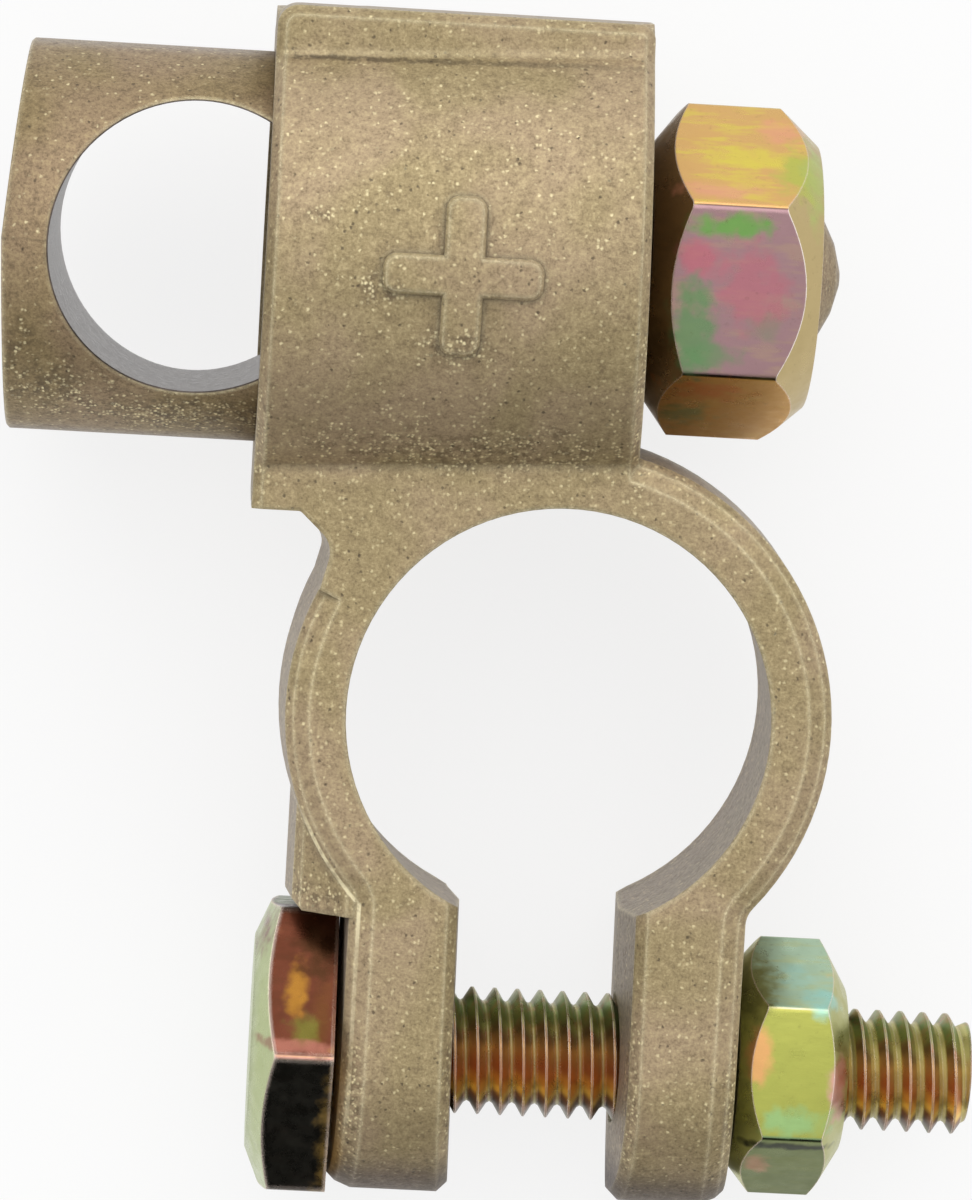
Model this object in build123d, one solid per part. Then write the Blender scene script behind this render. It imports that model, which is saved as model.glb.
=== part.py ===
from build123d import *
from math import radians, sqrt, tan
import os

# Battery post clamp with a screwed cable eye. Millimetres.
# Origin: axis of the post bore on the underside of the ring. +Z up out of the marked face,
# +X along the clamping bolt towards its nut, +Y from the ears towards the cable housing.

# post ring
ring_height = 13.0
ring_outer_radius = 11.94       # at the parting plane, half way up
ring_shift = 0.03               # of the ring's outside towards the nuts
post_large_radius = 9.75        # foot of a tapered battery post
post_taper = 1 / 18             # radius lost for each millimetre of height
post_land = 1.2                 # straight part of the bore at its mouth
draft_angle = 2.2               # casting draft, both ways from the parting plane
face_edge_bevel = 0.4           # outer edges of the ring's and ears' faces
bore_edge_bevel = 0.08

# ears and their slot
slot_half_width = 3.5
slot_draft_angle = 3.2
slot_lean = 0.8                 # degrees, its open end towards the nut
slot_mouth_shift = -0.12        # of the slot at the post axis
left_ear_thickness = 5.2
right_ear_thickness = 5.3
bolt_drop = 15.45               # bolt axis below the post axis
ear_reach = 21.7                # ears' round ends below the post axis
neck_round = 0.9                # hollow between the ring and each ear
ear_end_bevel = 0.6             # where the ears' sides meet their round ends
slot_end_bevel = 0.45           # the same inside the slot

# clamping bolt, its head held from turning by the lug
bolt_radius = 2.8
bolt_length = 28.25             # under the head
bolt_tip_chamfer = 0.5
head_across_flats = 12.3
head_height = 3.55
head_gap = 0.1                  # head to ear
lug_gap = 0.35                  # head to lug, too small for the head to turn
ear_nut_across_flats = 9.9
ear_nut_height = 4.85
ear_nut_turn = 25.6             # where a corner stands, from +Z towards +Y
ear_nut_seat = (0.88, 50)       # flat circle over the width across flats, chamfer's degrees
ear_nut_face = (0.74, 60)       # the same for the outer face
head_face = (0.76, 67)

# lug over the bolt head
lug_reach = 11.2                # from the post axis, at the parting plane
lug_top = -3.2
lug_flank_reach = 10.9
lug_flank_drop = 2.2            # flank's outer edge below the ring's faces
lug_inner_reach = 8.6
lug_face_drop = 0.4
lug_edge_bevel = 0.4

# cable housing
housing_left = -13.58
housing_right = 2.85
housing_end_slant = 1.2         # degrees, on the nut's side
housing_overhang = 1.0          # cut away again, so that the left end has no draft
stud_rise = 19.33               # stud axis above the post axis
arch_wall = 2.4                 # around the eye at the crest
flange_lip = 1.95               # flange beyond the arch's foot
arch_skew = 3.0                 # degrees between the arch and the stud axis
end_wall = 2.6
seat_radius = 6.6               # spot face under the stud's nut
housing_corner_round = 0.9
foot_corner_round = 1.3
housing_edge_bevel = 0.4        # ends of the arch and rim of the flange
crease_round = 0.5              # hollow where the arch meets the flange
foot_drop = 0.55                # flange's foot below the housing's underside
foot_flank = 1.3                # from the hollow to the flange, along X
foot_notch = (-10.3, 6.95)      # hollow where the foot runs into the ring
foot_return = (-10.8, 4.95)     # where the hollow's lower side meets the ring
foot_notch_round = 0.9

# raised plus sign
plus_span = 6.7
plus_width = 1.7
plus_rise = 0.45
plus_sink = 0.5                 # centre below the stud axis
plus_end_round = 0.6
plus_edge_bevel = 0.15

# cable eye and its stud
eye_radius = 8.45
eye_end = -24.65                # furthest point, on the eye's own parting line
eye_end_draft = 3.3
eye_end_turn = 0.9              # of the end about the parting line, towards the ring
eye_end_bevel = 0.12
cable_hole_radius = 6.15
cable_hole_centre = -16.55
cable_hole_rise = 0.15          # above the stud axis
cable_hole_lean = 1.7           # degrees off square to the stud axis
eye_shoulder = -7.0
stud_radius = 3.95
stud_end = 10.3                 # the plain tip starts here
stud_run_out = 0.6
stud_tip_base_radius = 3.0
stud_tip_knee = (0.55, 1.6)     # reach and radius where the tip gets blunter
stud_tip_end = (0.8, 0.4)
stud_nut_across_flats = 12.73
stud_nut_height = 7.25
stud_nut_turn = 24.3
stud_nut_seat = (0.83, 53)
stud_nut_face = (0.90, 42)

# nuts and bolt head
corner_round_share = 0.035      # hex corner radius over the width across flats

# clearances
sliding_clearance = 0.08        # stud, bolt and eye in their bores
thread_clearance = 0.05         # nut bores, which stand for the threads
seat_clearance = 0.05           # nut faces to what they bear on

# worked out from the above
parting = ring_height / 2
post_small_radius = post_large_radius - (ring_height - post_land) * post_taper
bolt_y = -bolt_drop
left_ear_outer = -slot_half_width - left_ear_thickness
right_ear_outer = slot_half_width + right_ear_thickness
arch_radius = eye_radius + arch_wall
arch_foot = sqrt(arch_radius**2 - parting**2)     # from the stud axis to the flange's face
housing_half_height = arch_foot + flange_lip
housing_top = stud_rise + housing_half_height
housing_underside = stud_rise - housing_half_height
foot_y = housing_underside - foot_drop
housing_length = housing_right - housing_left
housing_middle = (housing_left + housing_right) / 2
eye_bore_radius = eye_radius + sliding_clearance
head_seat = left_ear_outer - head_gap
lug_foot = bolt_y + head_across_flats / 2 + lug_gap


def bar_x(radius, start, end, y, tip_radius=None):
    """A round bar, or a cone to tip_radius, on an axis along X at the parting plane."""
    length = end - start
    if tip_radius is None:
        solid = Cylinder(radius, length)
    else:
        solid = Cone(radius, tip_radius, length)
    return Pos((start + end) / 2, y, parting) * Rot(0, 90, 0) * solid


def both_ways(outline, angle, height):
    """An outline on the parting plane, drawn up and down with casting draft."""
    up = extrude(Pos(0, 0, parting) * outline, height, taper=angle)
    return up + mirror(up, Plane.XY.offset(parting))


def nearest_corner(outline, x, y):
    """The outline's corner that lies nearest to a point."""
    return outline.vertices().sort_by_distance((x, y, 0))[0]


def face_edges(solid):
    """Edges that lie in the casting's upper or lower face."""
    lower = solid.edges().filter_by_position(Axis.Z, -0.001, 0.001)
    upper = solid.edges().filter_by_position(Axis.Z, ring_height - 0.001, ring_height + 0.001)
    return lower + upper


def ring_and_ears():
    """Solid ring with both ears, their ends round about the bolt."""
    width = right_ear_outer - left_ear_outer
    middle = (right_ear_outer + left_ear_outer) / 2
    outline = Pos(ring_shift, 0) * Circle(ring_outer_radius)
    outline += Pos(middle, bolt_y) * Rectangle(width, 2 * bolt_drop)
    for side in (left_ear_outer, right_ear_outer):
        neck = nearest_corner(outline, side, -ring_outer_radius / sqrt(2))
        outline = fillet(neck, neck_round)
    end_y = parting - ear_reach
    beyond = Pos(0, end_y - bolt_drop, parting) * Box(4 * bolt_drop, 2 * bolt_drop, 2 * ring_height)
    beyond = beyond - bar_x(parting, -2 * bolt_drop, 2 * bolt_drop, end_y)
    solid = both_ways(outline, draft_angle, parting) - beyond
    ends = solid.edges().filter_by(GeomType.ELLIPSE)
    solid = chamfer(ends, ear_end_bevel)
    sides = face_edges(solid).filter_by(lambda edge: abs(edge.center().Y - end_y) > ear_end_bevel)
    return chamfer(sides, face_edge_bevel)


def housing_outline(low):
    """Plan of the housing down to a height, drawn longer than it is at its left end."""
    slant = tan(radians(housing_end_slant))
    outline = Polyline(
        (housing_left - housing_overhang, low),
        (housing_left - housing_overhang, housing_top),
        (housing_right - (housing_top - stud_rise) * slant, housing_top),
        (housing_right + (stud_rise - low) * slant, low),
        close=True,
    )
    return make_face(outline)


def trimmed_left(solid):
    """The solid without what stands out past the housing's square left end."""
    size = 2 * housing_top
    beyond = Pos(housing_left - size / 2, stud_rise, parting) * Box(size, size, size)
    return solid - beyond


def housing_flange():
    """Slab behind the arch, with the foot that runs down into the ring on the left."""
    outline = housing_outline(foot_y)
    outline = fillet(nearest_corner(outline, housing_right, housing_top), housing_corner_round)
    notch_x, notch_y = foot_notch
    web = Polyline(
        (notch_x - foot_flank, foot_y),
        foot_notch,
        foot_return,
        (0, 0),
        (0, foot_y),
        close=True,
    )
    outline = outline + make_face(web)
    outline = fillet(nearest_corner(outline, notch_x, notch_y), foot_notch_round)
    half = trimmed_left(extrude(Pos(0, 0, parting) * outline, parting, taper=draft_angle))
    for y, radius in ((foot_y, foot_corner_round), (housing_top, housing_corner_round)):
        corner = half.edges().sort_by_distance((housing_left, y, 1.5 * parting))[0]
        half = fillet(corner, radius)
    return half + mirror(half, Plane.XY.offset(parting))


def arch_bar(radius):
    """The housing's round arch, or one lifted off it, with the flange's drafted ends."""
    turned = Rot(0, 0, arch_skew) * Rot(0, 90, 0) * Cylinder(radius, 2 * housing_length)
    limits = both_ways(housing_outline(housing_underside), draft_angle, radius)
    return trimmed_left(limits & Pos(housing_middle, stud_rise, parting) * turned)


def housing():
    """Flange and arch, with hollows between them and rounded ends."""
    solid = housing_flange() + arch_bar(arch_radius)
    long_edges = face_edges(solid).filter_by(lambda edge: edge.length > 0.8 * housing_length)
    crease_limit = arch_foot + flange_lip / 2
    creases = long_edges.filter_by(lambda edge: abs(edge.center().Y - stud_rise) < crease_limit)
    solid = fillet(creases, crease_round)
    arch_ends = solid.edges().filter_by(
        lambda edge: edge.geom_type == GeomType.ELLIPSE
        and abs(edge.center().Z - parting) > 0.8 * arch_radius
    )
    return chamfer(arch_ends, housing_edge_bevel)


def plus_mark():
    """Raised plus sign that follows the arch."""
    arm = fillet(Rectangle(plus_width, plus_span).vertices(), plus_end_round)
    cross = Pos(housing_middle, stud_rise - plus_sink) * (arm + Rot(0, 0, 90) * arm)
    prism = extrude(Pos(0, 0, parting) * cross, 2 * arch_radius)
    mark = prism & arch_bar(arch_radius + plus_rise)
    rim = mark.faces().sort_by(Axis.Z)[-1].edges()
    return chamfer(rim, plus_edge_bevel)


def lug():
    """Stop over the head of the bolt, with flanks that fall away from the ring's edge."""
    half_face = parting - lug_face_drop
    half_flank = parting - lug_flank_drop
    profile = Polyline(
        (0, half_face),
        (-lug_inner_reach, half_face),
        (-lug_flank_reach, half_flank),
        (-lug_reach, 0),
        (-lug_flank_reach, -half_flank),
        (-lug_inner_reach, -half_face),
        (0, -half_face),
        close=True,
    )
    at_foot = Plane(origin=(0, lug_foot, parting), x_dir=(1, 0, 0), z_dir=(0, -1, 0))
    solid = extrude(at_foot * make_face(profile), lug_foot - lug_top)
    shoulder = solid.edges().filter_by(
        lambda edge: edge.center().X < -lug_inner_reach and edge.length > 4
    )
    return chamfer(shoulder, lug_edge_bevel)


def post_bore():
    """Tapered bore with a straight land at its mouth, and the slot between the ears."""
    profile = Polyline(
        (0, -1),
        (post_large_radius, -1),
        (post_large_radius, post_land),
        (post_small_radius, ring_height),
        (post_small_radius, ring_height + 1),
        (0, ring_height + 1),
        close=True,
    )
    bore = revolve(Plane.XZ * make_face(profile), Axis.Z)
    gap = Rot(0, 0, slot_lean) * Pos(0, bolt_y) * Rectangle(2 * slot_half_width, 2 * bolt_drop)
    gap = Pos(slot_mouth_shift, 0) * gap
    return bore + both_ways(gap, -slot_draft_angle, parting)


def clamp_casting():
    """Split ring, ears, lug and cable housing in one piece."""
    solid = ring_and_ears() + housing() + lug() + plus_mark() - post_bore()
    upper_rim = face_edges(solid).filter_by(
        lambda edge: edge.length > 4 * post_small_radius and edge.center().Z > parting
    )
    solid = chamfer(upper_rim, bore_edge_bevel)
    slot_ends = solid.edges().filter_by(
        lambda edge: abs(abs(edge.center().X) - slot_half_width) < slot_end_bevel
        and edge.center().Y < parting / 2 - ear_reach
        and edge.geom_type != GeomType.LINE
    )
    solid = chamfer(slot_ends, slot_end_bevel)
    beyond = bolt_length
    solid -= bar_x(eye_bore_radius, housing_left - beyond, housing_right - end_wall, stud_rise)
    solid -= bar_x(stud_radius + sliding_clearance, housing_left, housing_right + beyond, stud_rise)
    solid -= bar_x(seat_radius, housing_right, housing_right + beyond, stud_rise)
    solid -= bar_x(bolt_radius + sliding_clearance, -beyond, beyond, bolt_y)
    return solid


def eye_half(side, angle):
    """Half of the eye's bar, +1 above or -1 below its parting line, its end drafted."""
    reach = 2 * eye_radius
    plan = Polyline(
        (eye_end, 0),
        (eye_end + reach * tan(radians(angle)), side * reach),
        (eye_shoulder, side * reach),
        (eye_shoulder, 0),
        close=True,
    )
    block = extrude(Pos(0, stud_rise, parting) * make_face(plan), reach, both=True)
    solid = block & bar_x(eye_radius, eye_end, eye_shoulder, stud_rise)
    rim = solid.edges().filter_by(
        lambda edge: edge.geom_type != GeomType.LINE and edge.center().X < housing_left
    )
    return chamfer(rim, eye_end_bevel)


def cable_eye():
    """Round bar with the cable's cross hole, a drafted end and the threaded stud."""
    upper = eye_half(1, eye_end_draft + eye_end_turn)
    shank = upper + eye_half(-1, eye_end_draft - eye_end_turn)
    hole = Rot(cable_hole_lean, 0, 0) * Cylinder(cable_hole_radius, 4 * eye_radius)
    shank -= Pos(cable_hole_centre, stud_rise + cable_hole_rise, parting) * hole
    stud = bar_x(stud_radius, eye_shoulder - 1, stud_end - stud_run_out, stud_rise)
    stud += bar_x(stud_radius, stud_end - stud_run_out, stud_end, stud_rise, stud_tip_base_radius)
    tip = bar_x(stud_tip_base_radius, stud_end - 1, stud_end, stud_rise)
    x, radius = stud_end, stud_tip_base_radius
    for reach, next_radius in (stud_tip_knee, stud_tip_end):
        tip += bar_x(radius, x, stud_end + reach, stud_rise, next_radius)
        x, radius = stud_end + reach, next_radius
    return shank + stud + tip


def hexagon_along_x(across_flats, length, turn):
    """Hexagonal bar from the origin along X, with one corner turned from +Z towards +Y."""
    outline = RegularPolygon(across_flats / 2, 6, major_radius=False, rotation=-turn)
    outline = fillet(outline.vertices(), corner_round_share * across_flats)
    end = Plane(origin=(0, 0, 0), x_dir=(0, 0, 1), z_dir=(1, 0, 0))
    return extrude(end * outline, length)


def turned_blank(across_flats, length, near_face, far_face=None):
    """Round blank along X that chamfers a hexagon's ends; each face is (share, degrees)."""
    beyond = 2 * across_flats
    blank = Pos(length / 2, 0, 0) * Rot(0, 90, 0) * Cylinder(beyond, length)
    for face, flip in ((near_face, False), (far_face, True)):
        if face is None:
            continue
        share, angle = face
        radius = share * across_flats / 2
        profile = Polyline(
            (0, radius),
            ((beyond - radius) * tan(radians(90 - angle)), beyond),
            (-1, beyond),
            (-1, radius),
            close=True,
        )
        waste = revolve(make_face(profile), Axis.X)
        if flip:
            waste = Pos(length, 0, 0) * mirror(waste, Plane.YZ)
        blank = blank - waste
    return blank


def hex_nut(across_flats, height, turn, seat, face, bore_radius, start, y):
    """Nut with both faces chamfered, its left face at start."""
    blank = hexagon_along_x(across_flats, height, turn) & turned_blank(across_flats, height, seat, face)
    return Pos(start, y, parting) * blank - bar_x(bore_radius, start - 1, start + height + 1, y)


def stud_nut():
    """Nut that draws the cable eye into the housing."""
    return hex_nut(
        stud_nut_across_flats,
        stud_nut_height,
        stud_nut_turn,
        stud_nut_seat,
        stud_nut_face,
        stud_radius + thread_clearance,
        housing_right + seat_clearance,
        stud_rise,
    )


def ear_nut():
    """Nut that draws the ears together."""
    return hex_nut(
        ear_nut_across_flats,
        ear_nut_height,
        ear_nut_turn,
        ear_nut_seat,
        ear_nut_face,
        bolt_radius + thread_clearance,
        right_ear_outer + seat_clearance,
        bolt_y,
    )


def clamp_bolt():
    """Hex bolt whose head has its flats square to the parting plane."""
    start = head_seat - head_height
    head = hexagon_along_x(head_across_flats, head_height, 0)
    head = head & turned_blank(head_across_flats, head_height, head_face)
    shank = bar_x(bolt_radius, head_seat - 1, head_seat + bolt_length, bolt_y)
    shank = chamfer(shank.edges().sort_by(Axis.X)[-1], bolt_tip_chamfer)
    return Pos(start, bolt_y, parting) * head + shank


pieces = {
    "clamp_casting": clamp_casting,
    "cable_eye": cable_eye,
    "stud_nut": stud_nut,
    "clamp_bolt": clamp_bolt,
    "ear_nut": ear_nut,
}
os.makedirs("parts", exist_ok=True)
for name, make in pieces.items():
    export_step(make(), f"parts/{name}.step")
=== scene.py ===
import math
import bmesh
import bpy
from mathutils import Matrix, Vector


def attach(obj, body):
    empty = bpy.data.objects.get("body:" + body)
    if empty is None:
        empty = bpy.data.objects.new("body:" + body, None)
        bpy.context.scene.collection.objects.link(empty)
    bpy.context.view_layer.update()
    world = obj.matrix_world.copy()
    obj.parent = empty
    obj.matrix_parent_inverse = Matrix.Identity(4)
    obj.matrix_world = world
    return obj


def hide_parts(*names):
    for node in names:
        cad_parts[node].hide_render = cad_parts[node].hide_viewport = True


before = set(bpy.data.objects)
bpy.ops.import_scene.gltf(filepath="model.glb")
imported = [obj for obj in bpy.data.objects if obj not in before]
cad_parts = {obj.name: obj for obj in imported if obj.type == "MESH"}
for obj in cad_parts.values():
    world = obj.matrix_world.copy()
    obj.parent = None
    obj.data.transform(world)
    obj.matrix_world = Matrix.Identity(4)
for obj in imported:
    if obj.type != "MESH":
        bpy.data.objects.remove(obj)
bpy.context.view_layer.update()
mm = 0.001
print("frame loaded:", len(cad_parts), "nodes")


cameraSettings = {
    "tipTowardsEars": 5.00,     # degrees, the clamp lies on its arch and its bolt head
    "tipTowardsNut": 2.94,
    "turn": -3.06,
    "pivot": (0.0, 5.0, 6.5),
    "aim": (3.107, 0.369),      # the frame's middle from the pivot, mm
    "distance": 239.997,
    "lens": 203.1,              # on a 36 mm wide frame
}


def turnOf(settings):
    about = Matrix.Rotation(math.radians(settings["turn"]), 3, "Z")
    about = about @ Matrix.Rotation(math.radians(settings["tipTowardsNut"]), 3, "Y")
    return about @ Matrix.Rotation(math.radians(settings["tipTowardsEars"]), 3, "X")


def makeCamera(settings):
    data = bpy.data.cameras.new("camera")
    data.lens = settings["lens"]
    data.sensor_fit = "HORIZONTAL"
    data.sensor_width = 36.0
    data.clip_start = 0.01
    data.clip_end = 5.0
    camera = bpy.data.objects.new("camera", data)
    turned = turnOf(settings).transposed()
    x, y = settings["aim"]
    place = Vector(settings["pivot"]) + turned @ Vector((-x, -y, settings["distance"]))
    camera.matrix_world = Matrix.Translation(place * mm) @ turned.to_4x4()
    bpy.context.scene.collection.objects.link(camera)
    bpy.context.scene.camera = camera


makeCamera(cameraSettings)
cameraTurn = turnOf(cameraSettings).transposed()     # the camera's right, up and back, in the part's frame
print("camera placed")


# what every material is put together with

def srgb(red, green, blue):
    parts = []
    for value in (red, green, blue):
        value = value / 255
        parts.append(value / 12.92 if value <= 0.04045 else ((value + 0.055) / 1.055) ** 2.4)
    return tuple(parts) + (1.0,)


def addNode(tree, kind, settings=None, **sockets):
    node = tree.nodes.new(kind)
    for name, value in (settings or {}).items():
        setattr(node, name, value)
    for name, value in sockets.items():
        feed(tree, node, name.replace("_", " "), value)
    return node


def feed(tree, node, name, value):
    socket = node.inputs[int(name)] if name.isdigit() else node.inputs[name]
    if isinstance(value, bpy.types.NodeSocket):
        tree.links.new(value, socket)
    else:
        socket.default_value = value


def maths(tree, operation, first, second=0.0, clamp=False):
    node = tree.nodes.new("ShaderNodeMath")
    node.operation = operation
    node.use_clamp = clamp
    feed(tree, node, "0", first)
    feed(tree, node, "1", second)
    return node.outputs[0]


def vectorMaths(tree, operation, first, second=(0.0, 0.0, 0.0), result="Vector"):
    node = addNode(tree, "ShaderNodeVectorMath", {"operation": operation}, **{"0": first, "1": second})
    return node.outputs[result]


def remap(tree, value, low, high, toLow=0.0, toHigh=1.0, smooth=False):
    node = tree.nodes.new("ShaderNodeMapRange")
    node.interpolation_type = "SMOOTHSTEP" if smooth else "LINEAR"
    for name, number in (("Value", value), ("From Min", low), ("From Max", high),
                         ("To Min", toLow), ("To Max", toHigh)):
        feed(tree, node, name, number)
    return node.outputs["Result"]


def mixColour(tree, factor, first, second, blend="MIX"):
    node = tree.nodes.new("ShaderNodeMix")
    node.data_type = "RGBA"
    node.blend_type = blend
    for index, value in ((0, factor), (6, first), (7, second)):
        if isinstance(value, bpy.types.NodeSocket):
            tree.links.new(value, node.inputs[index])
        else:
            node.inputs[index].default_value = value
    return node.outputs[2]


def noise(tree, vector, size, detail=2.0, roughness=0.5, distortion=0.0):
    node = addNode(tree, "ShaderNodeTexNoise", None, Vector=vector, Scale=1 / (size * mm),
                   Detail=detail, Roughness=roughness, Distortion=distortion)
    return node.outputs["Fac"]


def stirred(tree, vector, size, amount):
    # small uneven shifts that break up the outline of a mask
    cloud = addNode(tree, "ShaderNodeTexNoise", None, Vector=vector, Scale=1 / (size * mm), Detail=3.0)
    shift = vectorMaths(tree, "SUBTRACT", cloud.outputs["Color"], (0.5, 0.5, 0.5))
    scaled = addNode(tree, "ShaderNodeVectorMath", {"operation": "SCALE"}, Scale=amount, **{"0": shift})
    return scaled.outputs["Vector"]


def nearPlace(tree, vector, shift, place, size):
    # 1 round a place in mm, fading to 0 over the size in mm each way
    away = vectorMaths(tree, "SUBTRACT", vector, Vector(place) * mm)
    scaled = vectorMaths(tree, "DIVIDE", away, Vector(size) * mm)
    bent = vectorMaths(tree, "ADD", scaled, shift)
    return remap(tree, vectorMaths(tree, "LENGTH", bent, result="Value"), 1.35, 0.45, smooth=True)


def ramp(tree, factor, stops):
    node = tree.nodes.new("ShaderNodeValToRGB")
    node.color_ramp.interpolation = "EASE"
    elements = node.color_ramp.elements
    while len(elements) < len(stops):
        elements.new(0.5)
    for element, (place, colour) in zip(elements, stops):
        element.position = place
        element.color = srgb(*colour)
    tree.links.new(factor, node.inputs[0])
    return node.outputs[0]


def newGroup(name, inputs, outputs):
    tree = bpy.data.node_groups.new(name, "ShaderNodeTree")
    for label, kind, value in inputs:
        socket = tree.interface.new_socket(name=label, in_out="INPUT", socket_type=kind)
        if value is not None:
            socket.default_value = value
    for label, kind in outputs:
        tree.interface.new_socket(name=label, in_out="OUTPUT", socket_type=kind)
    return tree, tree.nodes.new("NodeGroupInput").outputs, tree.nodes.new("NodeGroupOutput")


def useGroup(tree, group, **sockets):
    node = tree.nodes.new("ShaderNodeGroup")
    node.node_tree = group
    for name, value in sockets.items():
        feed(tree, node, name.replace("_", " "), value)
    return node.outputs


number, vectorSocket = "NodeSocketFloat", "NodeSocketVector"

# sizes in mm; samples is how many rays look for an edge
edgeAndHollowSettings = {"samples": 2, "hollowReach": 0.6, "breakSize": 0.16, "radius": 0.2}
grainSettings = {"drift": 6.0, "coarse": 0.42, "fine": 0.13, "cell": 0.17, "stirSize": 0.12, "stirBy": 0.16}


def makeEdgeWearShineAndShade(settings):
    # the edge mask is 1 on outward edges, for rubbed edges and painted edge highlights; Crease is 1 down in
    # the hollows, for painted shade
    tree, given, out = newGroup(
        "edgeWearShineAndShade",
        (
            ("Vector", vectorSocket, None),
            ("Radius", number, settings["radius"] * mm),
            ("Breaks", number, 0.5),
        ),
        (("WearAndShine", number), ("Crease", number), ("Normal", vectorSocket)),
    )
    rounded = addNode(tree, "ShaderNodeBevel", {"samples": settings["samples"]}, Radius=given["Radius"])
    flat = tree.nodes.new("ShaderNodeNewGeometry")
    along = vectorMaths(tree, "DOT_PRODUCT", rounded.outputs[0], flat.outputs["Normal"], "Value")
    bend = remap(tree, along, 0.997, 0.92, smooth=True)
    shade = addNode(tree, "ShaderNodeAmbientOcclusion", {"samples": settings["samples"], "only_local": True},
                    Distance=settings["hollowReach"] * mm)
    clear = remap(tree, shade.outputs["AO"], 0.60, 0.90)
    patch = noise(tree, given["Vector"], settings["breakSize"], 3.0, 0.7)
    kept = remap(tree, patch, 0.48, 0.58)
    kept = maths(tree, "MULTIPLY", maths(tree, "SUBTRACT", 1.0, kept), given["Breaks"])
    kept = maths(tree, "SUBTRACT", 1.0, kept)
    wearAndShine = maths(tree, "MULTIPLY", maths(tree, "MULTIPLY", bend, clear), kept)
    wearAndShine = maths(tree, "MULTIPLY", wearAndShine, 1.4, clamp=True)
    tree.links.new(wearAndShine, out.inputs["WearAndShine"])
    tree.links.new(remap(tree, shade.outputs["AO"], 0.95, 0.55, smooth=True), out.inputs["Crease"])
    tree.links.new(rounded.outputs[0], out.inputs["Normal"])
    return tree


def makeCastGrain(settings):
    # a blasted sand-cast skin: broad drift, fine mottling, pale specks that carry painted glints, dark pits
    tree, given, out = newGroup(
        "castGrain",
        (("Vector", vectorSocket, None), ("Flecks", number, 0.5), ("Pits", number, 0.5)),
        (("Drift", number), ("Mottle", number), ("GlintFleck", number), ("Pit", number), ("Height", number)),
    )
    vector = given["Vector"]
    drift = remap(tree, noise(tree, vector, settings["drift"], 2.0, 0.5, 0.4), 0.36, 0.64, smooth=True)
    coarse = noise(tree, vector, settings["coarse"], 3.0, 0.62)
    fine = noise(tree, vector, settings["fine"], 3.0, 0.7)
    mottle = maths(tree, "ADD", maths(tree, "MULTIPLY", coarse, 0.42), maths(tree, "MULTIPLY", fine, 0.58))
    shift = stirred(tree, vector, settings["stirSize"], settings["stirBy"] * mm)
    bent = vectorMaths(tree, "ADD", vector, shift)
    cells = addNode(tree, "ShaderNodeTexVoronoi", None, Vector=bent, Scale=1 / (settings["cell"] * mm),
                    Randomness=1.0)
    near = remap(tree, cells.outputs["Distance"], 0.62, 0.15, smooth=True)
    chosen = tree.nodes.new("ShaderNodeSeparateColor")
    tree.links.new(cells.outputs["Color"], chosen.inputs[0])
    level = maths(tree, "SUBTRACT", 1.0, given["Flecks"])
    glintFleck = maths(tree, "MULTIPLY", near, maths(tree, "GREATER_THAN", chosen.outputs[0], level))
    glintFleck = maths(tree, "MULTIPLY", glintFleck, remap(tree, chosen.outputs[2], 0.0, 1.0, 0.25, 1.0))
    level = maths(tree, "SUBTRACT", 1.0, given["Pits"])
    pit = maths(tree, "MULTIPLY", near, maths(tree, "GREATER_THAN", chosen.outputs[1], level))
    height = maths(tree, "SUBTRACT", mottle, maths(tree, "MULTIPLY", pit, 0.35))
    height = maths(tree, "ADD", height, maths(tree, "MULTIPLY", glintFleck, 0.12))
    for label, value in (("Drift", drift), ("Mottle", mottle), ("GlintFleck", glintFleck), ("Pit", pit),
                         ("Height", height)):
        tree.links.new(value, out.inputs[label])
    return tree


edgeWearShineAndShade = makeEdgeWearShineAndShade(edgeAndHollowSettings)
castGrain = makeCastGrain(grainSettings)


castingFinish = {
    "olive": (159, 142, 104),
    "pinkish": (170, 149, 118),
    "dark": (110, 93, 70),
    "light": (198, 179, 138),
    "glintFleck": (250, 236, 188),
    "pit": (66, 55, 43),
    # the edge colour: rubbed brass, brightened further as painted edge glints
    "edge": (246, 233, 192),
    "sideSheen": (158, 148, 140),
    "glintFlecks": 0.10,
    "pits": 0.03,
    "roughness": 0.50,
    "metallic": 0.5,
    "edgeRadius": 0.34,
    "glintCrowds": (                     # where painted glints crowd: places and sizes in mm
        ((-10.4, -8.3, 12.4), (1.9, 0.9, 3.0)),
        ((-5.5, 11.6, 11.0), (9.0, 1.3, 5.0)),
        ((-13.3, 13.0, 9.0), (0.6, 4.5, 7.0)),
        ((2.7, 15.0, 10.0), (0.6, 5.5, 8.0)),
        ((-8.0, -17.5, 12.5), (0.5, 3.6, 3.0)),
        ((-3.6, -16.0, 12.8), (0.4, 5.0, 2.0)),
        ((3.9, -17.0, 12.8), (0.5, 4.0, 2.0)),
        ((8.5, -17.5, 12.8), (0.5, 3.5, 2.0)),
        ((-8.8, 18.0, 17.0), (1.0, 0.9, 2.0)),
        ((-5.6, 15.8, 16.5), (1.6, 0.8, 2.0)),
        ((-11.6, 21.1, 16.5), (0.6, 0.3, 2.0)),
    ),
    "ends": ((-18.7, -20.9), (150, 144, 150)),   # the ear tips along Y in mm, and the painted shade multiplied onto them
    # a bright line of rubbing and painted highlight along the lug's raised edge
    "ridgeWearAndShine": {"radius": 11.62, "x": -8.07, "turnsAt": -8.25, "from": -4.2, "half": 0.11, "above": 12.0},
    # a painted line of shade along the crease where the arch meets the lip
    "seamAndCreaseShade": {
        "y": 27.58, "lean": 0.021, "at": -11.29, "half": 0.17, "above": 8.5, "from": -13.2, "to": 1.9,
        "strength": (0.75, 0.3),
    },
}
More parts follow.
